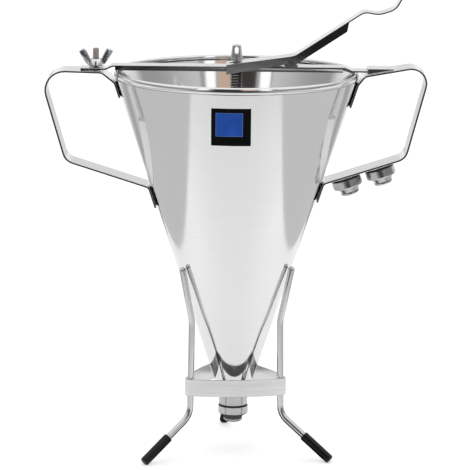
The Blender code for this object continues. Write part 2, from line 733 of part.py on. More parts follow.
def lever_flange_outline():
    """The side of the lever: under its roof, with a lug round the pivot pin."""
    end_drop = LEVER_FLANGE_END_HEIGHT / math.cos(LEVER_ARM_ANGLE)
    lug_start = math.pi + LEVER_REST_ANGLE
    lug = arc((PIVOT_REACH, PIVOT_HEIGHT), LEVER_LUG_RADIUS, lug_start, math.tau - LEVER_REST_ANGLE)
    flange_end = LEVER_FLANGE_END - LEVER_FLANGE_END_HEIGHT * math.sin(LEVER_ARM_ANGLE) / 2
    kink_under = LEVER_KINK_REACH + LEVER_LUG_RADIUS
    outline = [(-LEVER_END_REACH + WELD_STEP, LEVER_ROOF_END)]
    outline += [(-LEVER_END_REACH + WELD_STEP, LEVER_ROOF_END - LEVER_FLANGE_HEIGHT)]
    outline += [tuple(p) for p in lug]
    outline += [(kink_under, lever_arm_height(kink_under) - end_drop)]
    outline += [(flange_end, lever_arm_height(flange_end) - end_drop)]
    outline += [(LEVER_FLANGE_END, lever_arm_height(LEVER_FLANGE_END))]
    outline += [(LEVER_KINK_REACH, lever_roof_height(LEVER_KINK_REACH))]
    return outline


def make_lever():
    path = rounded_path(
        [
            (-LEVER_END_REACH, LEVER_ROOF_END, 0.0),
            (LEVER_KINK_REACH, lever_roof_height(LEVER_KINK_REACH), LEVER_KINK_BEND),
            (CREST_REACH, lever_arm_height(CREST_REACH), CREST_BEND),
            (HOLLOW_REACH, RIM_TOP + HOLLOW_LIFT, HOLLOW_BEND),
            (THUMB_REACH, RIM_TOP + THUMB_LIFT, THUMB_BEND),
            (THUMB_END_REACH, RIM_TOP + THUMB_END_LIFT, 0.0),
        ]
    )
    lever = strip("lever", path, LEVER_WIDTH, LEVER_SHEET, BRUSHED)
    for side, label in ((-1, "front"), (1, "rear")):
        middle = side * (LEVER_WIDTH - LEVER_SHEET - WELD_STEP) / 2
        flange = plate("lever_flange_" + label, lever_flange_outline(), middle, LEVER_SHEET - WELD_STEP)
        combine(lever, flange, "UNION")
    low = RIM_TOP
    high = lever_roof_height(LEVER_KINK_REACH) + OVERRUN
    for reach, label in ((ROD_HOLE_RADIUS - SLOT_BACK, "back"), (SLOT_FRONT - ROD_HOLE_RADIUS, "front")):
        hole = cylinder("slot_" + label, ROD_HOLE_RADIUS, (reach, 0.0, low), (reach, 0.0, high))
        combine(lever, hole, "DIFFERENCE")
    slot = box(
        "slot_middle",
        (ROD_HOLE_RADIUS - SLOT_BACK, -ROD_HOLE_RADIUS, low),
        (SLOT_FRONT - ROD_HOLE_RADIUS, ROD_HOLE_RADIUS, high),
    )
    combine(lever, slot, "DIFFERENCE")
    combine(lever, pin_hole("lever_pin_hole"), "DIFFERENCE")
    return lever


def pin_hole(name):
    """The clearance hole for the pivot pin, right across."""
    side = LEVER_WIDTH / 2 + OVERRUN
    start = (PIVOT_REACH, -side, PIVOT_HEIGHT)
    return cylinder(name, PIVOT_RADIUS + GAP, start, (PIVOT_REACH, side, PIVOT_HEIGHT))


def make_bracket():
    base = BAR_TOP + GAP
    half_length = BRACKET_LENGTH / 2
    low = (PIVOT_REACH - half_length, -BRACKET_WIDTH / 2, base)
    high = (PIVOT_REACH + half_length, BRACKET_WIDTH / 2, base + BRACKET_SHEET)
    bracket = box("lever_bracket", low, high, BRUSHED, PARTS)
    foot = base + BRACKET_SHEET / 2
    crown = arc((PIVOT_REACH, PIVOT_HEIGHT), BRACKET_EAR_RADIUS, 0.0, math.pi)
    half_ear = half_length - WELD_STEP
    outline = [(PIVOT_REACH - half_ear, foot), (PIVOT_REACH + half_ear, foot)]
    outline += [tuple(p) for p in crown]
    for side, label in ((-1, "front"), (1, "rear")):
        middle = side * (BRACKET_WIDTH - BRACKET_SHEET) / 2 - side * WELD_STEP
        combine(bracket, plate("ear_" + label, outline, middle, BRACKET_SHEET), "UNION")
    combine(bracket, pin_hole("bracket_pin_hole"), "DIFFERENCE")


def make_pivot_pin():
    """The pin, turned about its own axis, with a head at each side of the lever."""
    half = LEVER_WIDTH / 2 + GAP
    end = half + PIVOT_HEAD_THICKNESS
    profile = [
        (0.0, end),
        (PIVOT_HEAD_RADIUS, end),
        (PIVOT_HEAD_RADIUS, half),
        (PIVOT_RADIUS, half),
        (PIVOT_RADIUS, -half),
        (PIVOT_HEAD_RADIUS, -half),
        (PIVOT_HEAD_RADIUS, -end),
        (0.0, -end),
    ]
    pin = turned("pivot_pin", profile, POLISHED, SMALL_SIDES)
    pin.location = (PIVOT_REACH, 0.0, PIVOT_HEIGHT)
    pin.rotation_euler = (math.pi / 2, 0.0, 0.0)


# Piston
def knob_seat():
    """The underside of the washer below the knob, just clear of the lever's rising roof."""
    return lever_roof_height(KNOB_WASHER_RADIUS) + LEVER_SHEET / 2 / math.cos(LEVER_REST_ANGLE) + GAP


def make_knob():
    seat = knob_seat()
    washer_top = seat + KNOB_WASHER_THICKNESS
    turned(
        "knob_washer", ring_profile(ROD_BORE_RADIUS, KNOB_WASHER_RADIUS, seat, washer_top),
        BRUSHED, SMALL_SIDES, closed=True,
    )
    base = washer_top + GAP
    top = base + KNOB_HEIGHT
    crown_centre = (KNOB_TOP_RADIUS - KNOB_ROUNDING, top - KNOB_ROUNDING)
    crown = arc(crown_centre, KNOB_ROUNDING, math.pi / 2, 0.0)
    profile = [(0.0, top)]
    profile += [tuple(p) for p in crown]
    profile += [
        (KNOB_WAIST_RADIUS, base + KNOB_BASE_HEIGHT),
        (KNOB_BASE_RADIUS, base + KNOB_BASE_HEIGHT),
        (KNOB_BASE_RADIUS, base),
        (ROD_BORE_RADIUS, base),
        (ROD_BORE_RADIUS, base + KNOB_SOCKET_DEPTH),
        (0.0, base + KNOB_SOCKET_DEPTH),
    ]
    knob = turned("rod_knob", profile, BRUSHED, SMALL_SIDES)
    eye = arc((0.0, base + KNOB_EYE_HIGH), KNOB_EYE_RADIUS, 0.0, math.pi)
    eye += arc((0.0, base + KNOB_EYE_LOW), KNOB_EYE_RADIUS, math.pi, math.tau)
    combine(knob, plate("knob_eye", eye, 0.0, 2 * (KNOB_BASE_RADIUS + OVERRUN)), "DIFFERENCE")
    return base + KNOB_SOCKET_DEPTH - GAP


def spring_span():
    """Heights of the spring's lower and upper ends, under the washer below the bar."""
    washer_top = BAR_TOP - BAR_SHEET - GAP
    top = washer_top - WASHER_THICKNESS - GAP
    return top - SPRING_LENGTH, top


def make_spring():
    """The return spring: one unbroken wire whose ends run straight to the washer and the collar."""
    low, high = spring_span()
    washer_top = high + GAP + WASHER_THICKNESS
    turned(
        "spring_washer", ring_profile(ROD_HOLE_RADIUS, SPRING_WASHER_RADIUS, high + GAP, washer_top),
        POLISHED, SMALL_SIDES, closed=True,
    )
    straight = 2 * SPRING_WIRE_RADIUS
    start = low + straight
    rise = high - low - 2 * straight
    count = SPRING_CURLS * SPRING_POINTS_PER_CURL
    coil = []
    for i in range(count + 1):
        angle = math.tau * i / SPRING_POINTS_PER_CURL
        x = SPRING_RADIUS * math.cos(angle)
        y = SPRING_RADIUS * math.sin(angle)
        coil.append(Vector((x, y, start + rise * i / count)))
    ends_up = Vector((0.0, 0.0, straight))
    points = [coil[0] - ends_up, *coil, coil[-1] + ends_up]
    tube("return_spring", points, SPRING_WIRE_RADIUS, SPRING_WIRE, 1)
    return low, least_gap(coil)


def least_gap(coil):
    """The least space between one curl's wire and the next, measured on the points."""
    nearest = min(
        (coil[j] - coil[i]).length
        for i in range(len(coil))
        for j in range(i + SPRING_POINTS_PER_CURL // 2, min(len(coil), i + 2 * SPRING_POINTS_PER_CURL))
    )
    return nearest - 2 * SPRING_WIRE_RADIUS


def offset_seat(distance):
    """The seat's slanting line, moved inwards by a distance: its upper and lower end."""
    upper = Vector((SEAT_MOUTH_RADIUS, COLLAR_TOP))
    lower = Vector((SPOUT_BORE_RADIUS, COLLAR_TOP - SEAT_DEPTH))
    along = (lower - upper).normalized()
    inward = Vector((along.y, -along.x))
    return upper + inward * distance, lower + inward * distance


def make_plug():
    outer = offset_seat(GAP)
    inner = offset_seat(GAP + PLUG_SEAL_THICKNESS)
    seal = [tuple(p) for p in (outer[0], outer[1], inner[1], inner[0])]
    turned("plug_seal", seal, RUBBER, closed=True)
    edge, nose = offset_seat(GAP + PLUG_SEAL_THICKNESS + GAP)
    edge_top = edge.y + PLUG_EDGE_HEIGHT
    shoulder = edge_top + PLUG_SHOULDER_HEIGHT
    neck_top = shoulder + PLUG_NECK_HEIGHT
    socket = neck_top - PLUG_SOCKET_DEPTH
    profile = [
        (0.0, socket),
        (ROD_BORE_RADIUS, socket),
        (ROD_BORE_RADIUS, neck_top),
        (PLUG_NECK_RADIUS, neck_top),
        (PLUG_NECK_RADIUS, shoulder),
        (edge.x, edge_top),
        (edge.x, edge.y),
        (nose.x, nose.y),
        (nose.x, nose.y - PLUG_NOSE_LENGTH),
        (0.0, nose.y - PLUG_NOSE_LENGTH),
    ]
    turned("piston_plug", profile, BRUSHED)
    return socket + GAP


def make_piston():
    rod_top = make_knob()
    spring_low, gap = make_spring()
    print(f"least gap between the spring's curls: {gap / MM:.2f} mm")
    stop_top = spring_low - GAP
    turned(
        "spring_stop", ring_profile(ROD_BORE_RADIUS, STOP_RADIUS, stop_top - STOP_HEIGHT, stop_top),
        BRUSHED, SMALL_SIDES, closed=True,
    )
    rod_end = make_plug()
    profile = [(0.0, rod_top), (ROD_RADIUS, rod_top), (ROD_RADIUS, rod_end), (0.0, rod_end)]
    turned("piston_rod", profile, BRUSHED, SMALL_SIDES)


# Label
def make_label():
    """A thin sheet that follows the cone's front."""
    shape = bmesh.new()
    stand_off = (GAP + LABEL_THICKNESS / 2) / math.cos(CONE_LEAN)
    rows = []
    for drop in (LABEL_TOP_DROP, LABEL_TOP_DROP + LABEL_HEIGHT):
        height = RIM_TOP - drop
        radius = cone_radius(height) + stand_off
        row = []
        for i in range(LABEL_COLUMNS + 1):
            across = (2 * i - LABEL_COLUMNS) / (2 * LABEL_COLUMNS) * LABEL_WIDTH - LABEL_SHIFT
            angle = across / radius - math.pi / 2
            row.append(shape.verts.new((radius * math.cos(angle), radius * math.sin(angle), height)))
        rows.append(row)
    for i in range(LABEL_COLUMNS):
        shape.faces.new((rows[0][i], rows[1][i], rows[1][i + 1], rows[0][i + 1]))
    label = add_object("front_label", mesh_from("front_label", shape), PRINT)
    solid = label.modifiers.new("thickness", "SOLIDIFY")
    solid.thickness = LABEL_THICKNESS
    solid.offset = 0.0
    solid.use_even_offset = True


# Stand
def leg_line():
    """Corners of a leg's middle line as (reach, height, bend), and the middle of its foot."""
    top_reach = cone_radius(LEG_TOP_HEIGHT) + (LEG_RADIUS + GAP) / math.cos(CONE_LEAN)
    cap_low = CAP_RADIUS * math.cos(LEG_FOOT_ANGLE) - CAP_CHAMFER * math.sin(LEG_FOOT_ANGLE)
    foot_height = cap_low - CAP_FLAT_DEPTH
    low_height = foot_height + (LEG_FOOT_REACH - LEG_LOW_REACH) * math.tan(LEG_FOOT_ANGLE)
    inset = CAP_END + GAP
    end_reach = LEG_FOOT_REACH - inset * math.cos(LEG_FOOT_ANGLE)
    end_height = foot_height + inset * math.sin(LEG_FOOT_ANGLE)
    corners = [
        (top_reach, LEG_TOP_HEIGHT, 0.0),
        (LEG_WAIST_REACH, LEG_WAIST_HEIGHT, LEG_WAIST_BEND),
        (LEG_LOW_REACH, low_height, LEG_LOW_BEND),
        (end_reach, end_height, 0.0),
    ]
    return corners, (LEG_FOOT_REACH, foot_height)


def make_leg(name, angle):
    corners, foot = leg_line()
    path = rounded_path(corners)
    first = path[0]
    along = (path[1] - first).normalized()
    dome = [first + along * LEG_RADIUS * (1 - math.sqrt(1 - share**2)) for share in LEG_DOME_SHARES]
    path = dome + path[1:]
    shares = list(LEG_DOME_SHARES) + [1.0] * (len(path) - len(dome))
    points = [(p.x * math.cos(angle), p.x * math.sin(angle), p.y) for p in path]
    tube("leg_" + name, points, LEG_RADIUS, WIRE, 3, shares)
    profile = [
        (0.0, CAP_END),
        (LEG_RADIUS + GAP, CAP_END),
        (LEG_RADIUS + GAP, CAP_LENGTH),
        (CAP_RADIUS, CAP_LENGTH),
        (CAP_RADIUS, CAP_CHAMFER),
        (CAP_RADIUS - CAP_CHAMFER, 0.0),
        (0.0, 0.0),
    ]
    cap = turned("foot_cap_" + name, profile, VINYL, SMALL_SIDES)
    cap.matrix_world = (
        Matrix.Rotation(angle, 4, "Z")
        @ Matrix.Translation((foot[0], 0.0, foot[1]))
        @ Matrix.Rotation(LEG_FOOT_ANGLE - math.pi / 2, 4, "Y")
    )
    reach = LEG_FOOT_REACH + CAP_LENGTH
    floor = box("floor_cut_" + name, (-reach, -reach, -CAP_LENGTH), (reach, reach, 0.0))
    combine(cap, floor, "DIFFERENCE")


def band_outline(angles):
    """The band's middle line: bulging sides that run tangent into a bend round each leg."""
    corner_radius = LEG_RADIUS + GAP + BAND_THICKNESS / 2
    half_turn = math.pi / LEG_COUNT
    inner_radius = BAND_SIDE_RADIUS - corner_radius
    spread = math.asin(LEG_LOW_REACH * math.sin(half_turn) / inner_radius)
    half_corner = half_turn - spread
    set_back = inner_radius * math.cos(spread) - LEG_LOW_REACH * math.cos(half_turn)
    points = []
    for angle in angles:
        leg = LEG_LOW_REACH * Vector((math.cos(angle), math.sin(angle)))
        points += arc(leg, corner_radius, angle - half_corner, angle + half_corner)
        facing = angle + half_turn
        centre = -set_back * Vector((math.cos(facing), math.sin(facing)))
        points += arc(centre, BAND_SIDE_RADIUS, facing - spread, facing + spread, BAND_STEP)[1:-1]
    return points


def make_band(angles):
    shape = bmesh.new()
    outline = band_outline(angles)
    heights = (BAND_BASE, BAND_BASE + BAND_HEIGHT)
    rows = [[shape.verts.new((p.x, p.y, height)) for height in heights] for p in outline]
    for here, ahead in zip(rows, rows[1:] + rows[:1]):
        shape.faces.new((here[0], ahead[0], ahead[1], here[1]))
    band = add_object("stand_ring", mesh_from("stand_ring", shape), BRUSHED)
    solid = band.modifiers.new("thickness", "SOLIDIFY")
    solid.thickness = BAND_THICKNESS
    solid.offset = 0.0
    solid.use_even_offset = True


def make_stand():
    angles = [STAND_TURN + math.tau * i / LEG_COUNT for i in range(LEG_COUNT)]
    for name, angle in zip(LEG_NAMES, angles):
        make_leg(name, angle)
    make_band(angles)


def make_funnel():
    make_cone()
    make_collar()
    make_left_handle()
    make_right_handle()
    make_nozzle("fitted", OUTLET_RADII["fitted"], (0.0, 0.0, COLLAR_SHOULDER), (0.0, 0.0, -1.0))
    for name, reach in BOSS_REACHES.items():
        seat, down = strap_seat(reach)
        make_nozzle(name, OUTLET_RADII[name], make_boss(name, seat, down), down)
    make_label()


make_stand()
make_funnel()
make_cross_bar()
make_stud()
make_wing_nut()
make_lever()
make_bracket()
make_pivot_pin()
make_piston()
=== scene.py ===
"""Looks of the piston funnel: finishes, finer meshes for what shows, a white studio and the camera."""

import json
import math

import bmesh
import bpy
from mathutils import Matrix, Vector

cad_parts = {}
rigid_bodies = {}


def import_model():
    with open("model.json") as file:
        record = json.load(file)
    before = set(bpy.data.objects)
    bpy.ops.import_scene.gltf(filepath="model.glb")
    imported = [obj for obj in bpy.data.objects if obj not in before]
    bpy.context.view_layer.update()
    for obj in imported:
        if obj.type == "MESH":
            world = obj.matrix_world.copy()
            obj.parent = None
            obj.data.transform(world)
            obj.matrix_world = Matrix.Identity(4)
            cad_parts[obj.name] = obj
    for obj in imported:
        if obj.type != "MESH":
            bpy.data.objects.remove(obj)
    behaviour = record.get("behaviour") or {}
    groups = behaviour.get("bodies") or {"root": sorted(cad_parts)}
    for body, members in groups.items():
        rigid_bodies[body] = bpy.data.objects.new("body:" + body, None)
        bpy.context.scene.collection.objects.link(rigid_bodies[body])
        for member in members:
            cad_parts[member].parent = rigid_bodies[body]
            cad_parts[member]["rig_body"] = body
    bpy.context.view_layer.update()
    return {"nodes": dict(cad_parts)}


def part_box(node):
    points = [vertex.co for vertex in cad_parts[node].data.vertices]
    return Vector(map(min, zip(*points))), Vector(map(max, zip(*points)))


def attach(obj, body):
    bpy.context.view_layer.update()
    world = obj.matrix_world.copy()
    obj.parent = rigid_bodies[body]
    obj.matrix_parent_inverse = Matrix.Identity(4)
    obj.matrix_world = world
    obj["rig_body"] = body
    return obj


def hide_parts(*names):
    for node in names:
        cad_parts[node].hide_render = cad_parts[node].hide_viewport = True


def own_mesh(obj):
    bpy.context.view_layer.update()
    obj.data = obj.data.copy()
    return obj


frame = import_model()
NODES = frame["nodes"]

MM = 0.001

# Camera
CAMERA_PLACE = (0.16 * MM, -2100.0 * MM, 583.14 * MM)
CAMERA_DIP = math.radians(11.267)
CAMERA_ROLL = math.radians(0.6)
CAMERA_LENS = 220.7
CAMERA_SENSOR = 36.0
CAMERA_REACH = 100.0

# Visible edges and meshes
NO_EDGE = 0.0
FINE_EDGE = 0.12 * MM
SHEET_EDGE = 0.3 * MM
SOFT_EDGE = 0.5 * MM
FOLDS = {"cross_bar": 2.0 * MM, "lever": 1.0 * MM}
WELD = 0.001 * MM
FLAT_ANGLE = math.radians(0.4)
EDGE_ANGLE = math.radians(32.0)
WIRE_ANGLE = math.radians(38.0)
TURNED_ANGLE = math.radians(50.0)
ROUND_ANGLE = math.radians(60.0)
ANY_ANGLE = math.radians(180.0)
EDGE_SEGMENTS = 3
FOLD_SEGMENTS = 5
UP_SHARE = 0.7
SIDE_SHARE = 0.9

# Cone
RIM_RADIUS = 90.0 * MM
RIM_TOP = 288.0 * MM
BEAD_HALF_WIDTH = 1.6 * MM
BEAD_HALF_HEIGHT = 2.6 * MM
BEAD_START = math.radians(198.0)
BEAD_END = math.radians(-82.0)
BEAD_STEPS = 24
BEAD_FOOT_DROP = 0.2 * MM
INNER_TOP_DROP = 1.2 * MM
CONE_END = 44.5 * MM
CONE_END_RADIUS = 11.0 * MM
CONE_SHEET = 0.95 * MM
CONE_STEPS = 192

# Stud thread
THREAD_PITCH = 0.8 * MM
THREAD_DEPTH = 0.32 * MM
THREAD_ROWS = 8
STUD_STEPS = 28
STUD_TIP_HEIGHT = 0.8 * MM
STUD_TIP_DEPTH = 0.5 * MM

# Spring
SPRING_CURLS = 24
SPRING_STEPS = 24
SPRING_RADIUS = 3.9 * MM
SPRING_WIRE = 0.5 * MM
SPRING_WIRE_ROUNDNESS = 3

# Wing nut
HUB_BORE = 2.8 * MM
HUB_BASE = 5.2 * MM
HUB_TOP = 4.1 * MM
HUB_HEIGHT = 4.9 * MM
HUB_EDGE = 0.35 * MM
HUB_STEPS = 48
WING_REACH = 7.6 * MM
WING_LIFT = 6.2 * MM
WING_LEAN = math.radians(29.0)
WING_TURN = math.radians(12.0)
WING_HALF_LENGTH = 6.5 * MM
WING_ROOT_WIDTH = 4.2 * MM
WING_TIP_WIDTH = 5.9 * MM
WING_ROOT_THICK = 1.3 * MM
WING_TIP_THICK = 3.2 * MM
WING_SWELL_END = 1.3
WING_BOXY = 5.0
WING_CORNER = 0.45
WING_RIM = 0.25
WING_SIDES = 24
WING_RINGS = 20
WING_END_SHARE = 0.9999

# Steel textures: grain directions, noise scales per metre, and how far the noise carries
ALONG_X = (0.02, 1.0, 1.0)
ALONG_Z = (1.0, 1.0, 0.03)
ROUND_Z = (0.03, 0.03, 1.0)
EVEN = (1.0, 1.0, 1.0)
GRAIN_SCALE = 260.0
GRAIN_DETAIL = 4.0
GRAIN_SOFTNESS = 0.62
GRAIN_DEPTH = 0.02 * MM
GRAIN_WEIGHT = 0.35
GRAIN_ROUGH_SHARES = (0.8, 1.25)
SMEAR_SCALE = 34.0
SMEAR_STRETCH = (1.0, 1.0, 0.6)
SMEAR_ROUGHNESS = (-0.02, 0.03)
# FLANK_RANGE and the SPECK values shape the painted shade on sides that look along Y.
FLANK_RANGE = (0.93, 0.99)
SPECK_SCALE = 1900.0
SPECK_DETAIL = 2.0
SPECK_SOFTNESS = 0.6
SPECK_RANGE = (0.56, 0.72)
SPECK_WEIGHT = 0.42
SPECK_SHARE = 0.7

# Black textures
PEEL_SCALE = 900.0
PEEL_DETAIL = 2.0
PEEL_STRENGTH = 0.12
PEEL_DEPTH = 0.03 * MM
SMUDGE_SCALE = 60.0
SMUDGE_DETAIL = 4.0
SMUDGE_ROUGH_SHARES = (0.8, 1.3)
DUST_SCALE = 2600.0
DUST_DETAIL = 1.0
DUST_RANGE = (0.66, 0.74)
DUST_COLOUR = (0.30, 0.30, 0.30)

# Label: left, right, bottom and top as shares of its box
LABEL_FRAME_SHARES = (0.115, 0.795, 0.255, 0.885)
LABEL_FIELD_SHARES = (0.125, 0.785, 0.264, 0.876)
LABEL_BLUR = 0.12 * MM
LABEL_CLOUD_SCALE = 120.0
LABEL_BLACK = (0.003, 0.003, 0.004)
LABEL_FRAME = (0.16, 0.26, 0.60)
LABEL_DEEP_BLUE = (0.020, 0.085, 0.42)
LABEL_LIGHT_BLUE = (0.030, 0.11, 0.52)
LABEL_SHINE = 0.05
LABEL_ROUGHNESS = (0.26, 0.40)

# Floor: its glow for the camera grows with distance, its glow in metal fades towards the front
FLOOR_SIZE = (30.0, 30.0)
FLOOR_PLACE = (0.0, 0.0, -0.1 * MM)
FLOOR_COLOUR = (0.84, 0.84, 0.84)
FLOOR_NEAR = 0.3
FLOOR_FAR = 2.5
FLOOR_SEEN_GLOW = 0.48
FLOOR_FAR_GLOW = 0.7
FLOOR_DIM_START = 0.12
FLOOR_DIM_END = 0.42
FLOOR_DIM_GLOW = 0.02
FLOOR_GLOW = 0.3

# Room: levels, and the height or depth of a mirrored direction where they change
AMBIENT_LEVEL = 0.42
ROOM_LOW = 0.25
ROOM_LOW_HEIGHT = 0.02
ROOM_MIDDLE = 0.36
ROOM_MIDDLE_HEIGHT = 0.3
ROOM_HIGH = 1.0
ROOM_HIGH_HEIGHT = 0.62
ROOM_BACK = 0.5
ROOM_BACK_DEPTHS = (0.1, 0.5)
ROOM_BACK_HEIGHTS = (0.08, 0.3)

# Lamps: place, size and power
LAMP_AIM = (0.0, 0.0, 0.15)
LAMPS = {
    "key": ((-0.9, -1.2, 1.9), (1.4, 1.4), 9.8),
    "fill": ((1.3, -0.8, 1.5), (1.2, 1.2), 5.4),
    "top": ((0.0, 0.5, 2.2), (2.0, 2.0), 16.0),
}

# Cards that the polished steel mirrors: size, place, colour and strength
WALL_CARDS = {
    "room_front": ((4.2, 1.9), (0.0, -2.6, 1.75), (0.37, 0.37, 0.37), 1.0),
    "strip_left": ((0.50, 1.5), (-1.32, -2.1, 1.45), (1.0, 1.0, 1.0), 1.25),
    "strip_right": ((0.46, 1.5), (1.14, -2.1, 1.45), (1.0, 1.0, 1.0), 1.25),
    "warm_card": ((0.56, 1.5), (0.52, -2.2, 1.45), (0.62, 0.45, 0.36), 1.0),
    "dark_card": ((1.10, 1.5), (-0.33, -2.25, 1.45), (0.05, 0.04, 0.04), 1.0),
    "dark_front": ((1.9, 0.75), (-0.05, -2.3, 0.40), (0.05, 0.05, 0.055), 1.0),
}
FLOOR_CARDS = {
    "floor_left": ((0.38, 1.35), (-0.47, 0.22, 1.0 * MM), (0.60, 0.60, 0.605), 1.0),
    "floor_right": ((0.38, 1.35), (0.47, 0.22, 1.0 * MM), (0.61, 0.61, 0.61), 1.0),
    "floor_left_dim": ((0.40, 0.22), (-0.40, 0.58, 2.0 * MM), (0.44, 0.41, 0.39), 1.0),
    "floor_right_dim": ((0.40, 0.22), (0.40, 0.58, 2.0 * MM), (0.44, 0.41, 0.39), 1.0),
    "floor_front": ((1.7, 2.4), (-0.05, -1.84, 1.5 * MM), (0.035, 0.035, 0.04), 1.0),
    "floor_shade": ((0.13, 0.13), (0.0, 0.02, 1.0 * MM), (0.10, 0.10, 0.10), 1.0),
}


# Node trees
class Graph:
    """A node tree, and short ways to add nodes and join them."""

    def __init__(self, tree):
        self.tree = tree

    def feed(self, socket, value):
        if isinstance(value, bpy.types.NodeSocket):
            self.tree.links.new(value, socket)
        else:
            socket.default_value = value

    def add(self, kind, **inputs):
        node = self.tree.nodes.new(kind)
        for key, value in inputs.items():
            self.feed(node.inputs[key.replace("_", " ")], value)
        return node

    def work_out(self, operation, *values):
        node = self.tree.nodes.new("ShaderNodeMath")
        node.operation = operation
        for socket, value in zip(node.inputs, values):
            self.feed(socket, value)
        return node.outputs[0]

    def spread(self, value, low, high, start=0.3, end=0.7):
        """The value's middle range laid over another range."""
        limits = {"From_Min": start, "From_Max": end, "To_Min": low, "To_Max": high}
        return self.add("ShaderNodeMapRange", Value=value, **limits).outputs["Result"]


class Shader(Graph):
    """A material with a Principled shader, and the textures that feed it."""

    def __init__(self, name, colour, roughness, metallic=1.0):
        self.material = bpy.data.materials.new(name)
        self.material.use_nodes = True
        super().__init__(self.material.node_tree)
        self.body = self.tree.nodes["Principled BSDF"]
        self.body.inputs["Base Color"].default_value = (*colour, 1.0)
        self.body.inputs["Roughness"].default_value = roughness
        self.body.inputs["Metallic"].default_value = metallic
        spot = self.add("ShaderNodeTexCoord")
        self.place = spot.outputs["Object"]
        self.facing = spot.outputs["Normal"]

    def noise(self, scale, detail=3.0, stretch=EVEN, roughness=0.5):
        """Noise in object space, with the place stretched along each axis."""
        spot = self.add("ShaderNodeMapping", Vector=self.place, Scale=stretch).outputs["Vector"]
        texture = self.add("ShaderNodeTexNoise", Vector=spot, Scale=scale, Detail=detail, Roughness=roughness)
        return texture.outputs["Fac"]

    def mix(self, factor, first, second):
        node = self.tree.nodes.new("ShaderNodeMix")
        node.data_type = "RGBA"
        self.feed(node.inputs["Factor"], factor)
        self.feed(node.inputs[6], first)
        self.feed(node.inputs[7], second)
        return node.outputs[2]

    def bump(self, height, strength, distance):
        node = self.add("ShaderNodeBump", Height=height, Strength=strength, Distance=distance)
        return node.outputs["Normal"]

    def finish(self, **inputs):
        for key, value in inputs.items():
            self.feed(self.body.inputs[key.replace("_", " ")], value)
        return self.material


def tint(colour, share=1.0):
    return (*(c * share for c in colour), 1.0)


# Finishes
def steel(name, colour, roughness, grain, grain_scale=1.0, cloud=0.08, bump=0.10, side=1.0, line=0.86):
    """Bare steel with fine grain lines across the stretched axis, faint clouds and light smears.
    Its punched sides, which look along Y, can get painted shade: a colour darker by the side share, broken by
    lighter specks."""
    made = Shader(name, colour, roughness)
    lines = made.noise(GRAIN_SCALE * grain_scale, GRAIN_DETAIL, grain, GRAIN_SOFTNESS)
    smears = made.noise(SMEAR_SCALE, stretch=SMEAR_STRETCH)
    fine_rough = made.spread(lines, *(roughness * share for share in GRAIN_ROUGH_SHARES))
    rough = made.work_out("ADD", fine_rough, made.spread(smears, *SMEAR_ROUGHNESS))
    shade = made.mix(made.spread(smears, 0.0, 1.0), tint(colour), tint(colour, 1.0 - cloud))
    shade = made.mix(made.spread(lines, 0.0, GRAIN_WEIGHT), shade, tint(colour, line))
    # Painted shade: faces that look along Y are darkened by the side share, with lighter specks in it.
    if side < 1.0:
        across = made.add("ShaderNodeSeparateXYZ", Vector=made.facing).outputs["Y"]
        flank_shade_mask = made.spread(made.work_out("ABSOLUTE", across), 0.0, 1.0, *FLANK_RANGE)
        specks = made.noise(SPECK_SCALE, SPECK_DETAIL, EVEN, SPECK_SOFTNESS)
        speckled = made.spread(specks, 0.0, SPECK_WEIGHT, *SPECK_RANGE)
        flank_painted_shade = made.mix(speckled, tint(colour, side), tint(colour, SPECK_SHARE))
        shade = made.mix(flank_shade_mask, shade, flank_painted_shade)
    return made.finish(Base_Color=shade, Roughness=rough, Normal=made.bump(lines, bump, GRAIN_DEPTH))


def moulded(name, colour, roughness, grit, shine=0.5):
    """Dipped or moulded black: a faint orange peel, dull smears and pale dust in specks."""
    made = Shader(name, colour, roughness, 0.0)
    peel = made.noise(PEEL_SCALE, PEEL_DETAIL)
    smudges = made.noise(SMUDGE_SCALE, SMUDGE_DETAIL)
    dust = made.spread(made.noise(DUST_SCALE, DUST_DETAIL), 0.0, grit, *DUST_RANGE)
    made.body.inputs["Specular IOR Level"].default_value = shine
    return made.finish(
        Base_Color=made.mix(dust, tint(colour), tint(DUST_COLOUR)),
        Roughness=made.spread(smudges, *(roughness * share for share in SMUDGE_ROUGH_SHARES)),
        Normal=made.bump(peel, PEEL_STRENGTH, PEEL_DEPTH),
    )


def label_print(low, high):
    """Black foil with a blue field and a thin pale frame, laid out over the label's own box."""
    made = Shader("label_foil", LABEL_BLACK, LABEL_ROUGHNESS[0], 0.0)
    made.body.inputs["Specular IOR Level"].default_value = LABEL_SHINE
    place = made.add("ShaderNodeSeparateXYZ", Vector=made.place)
    width = high.x - low.x
    height = high.z - low.z

    def band(value, start, end):
        up = made.spread(value, 0.0, 1.0, start - LABEL_BLUR, start + LABEL_BLUR)
        down = made.spread(value, 1.0, 0.0, end - LABEL_BLUR, end + LABEL_BLUR)
        return made.work_out("MULTIPLY", up, down)

    def field(left, right, bottom, top):
        across = band(place.outputs["X"], low.x + width * left, low.x + width * right)
        along = band(place.outputs["Z"], low.z + height * bottom, low.z + height * top)
        return made.work_out("MULTIPLY", across, along)

    cloud = made.noise(LABEL_CLOUD_SCALE)
    blue = made.mix(made.spread(cloud, 0.0, 1.0), tint(LABEL_DEEP_BLUE), tint(LABEL_LIGHT_BLUE))
    shade = made.mix(field(*LABEL_FRAME_SHARES), tint(LABEL_BLACK), tint(LABEL_FRAME))
    shade = made.mix(field(*LABEL_FIELD_SHARES), shade, blue)
    return made.finish(Base_Color=shade, Roughness=made.spread(cloud, *LABEL_ROUGHNESS))


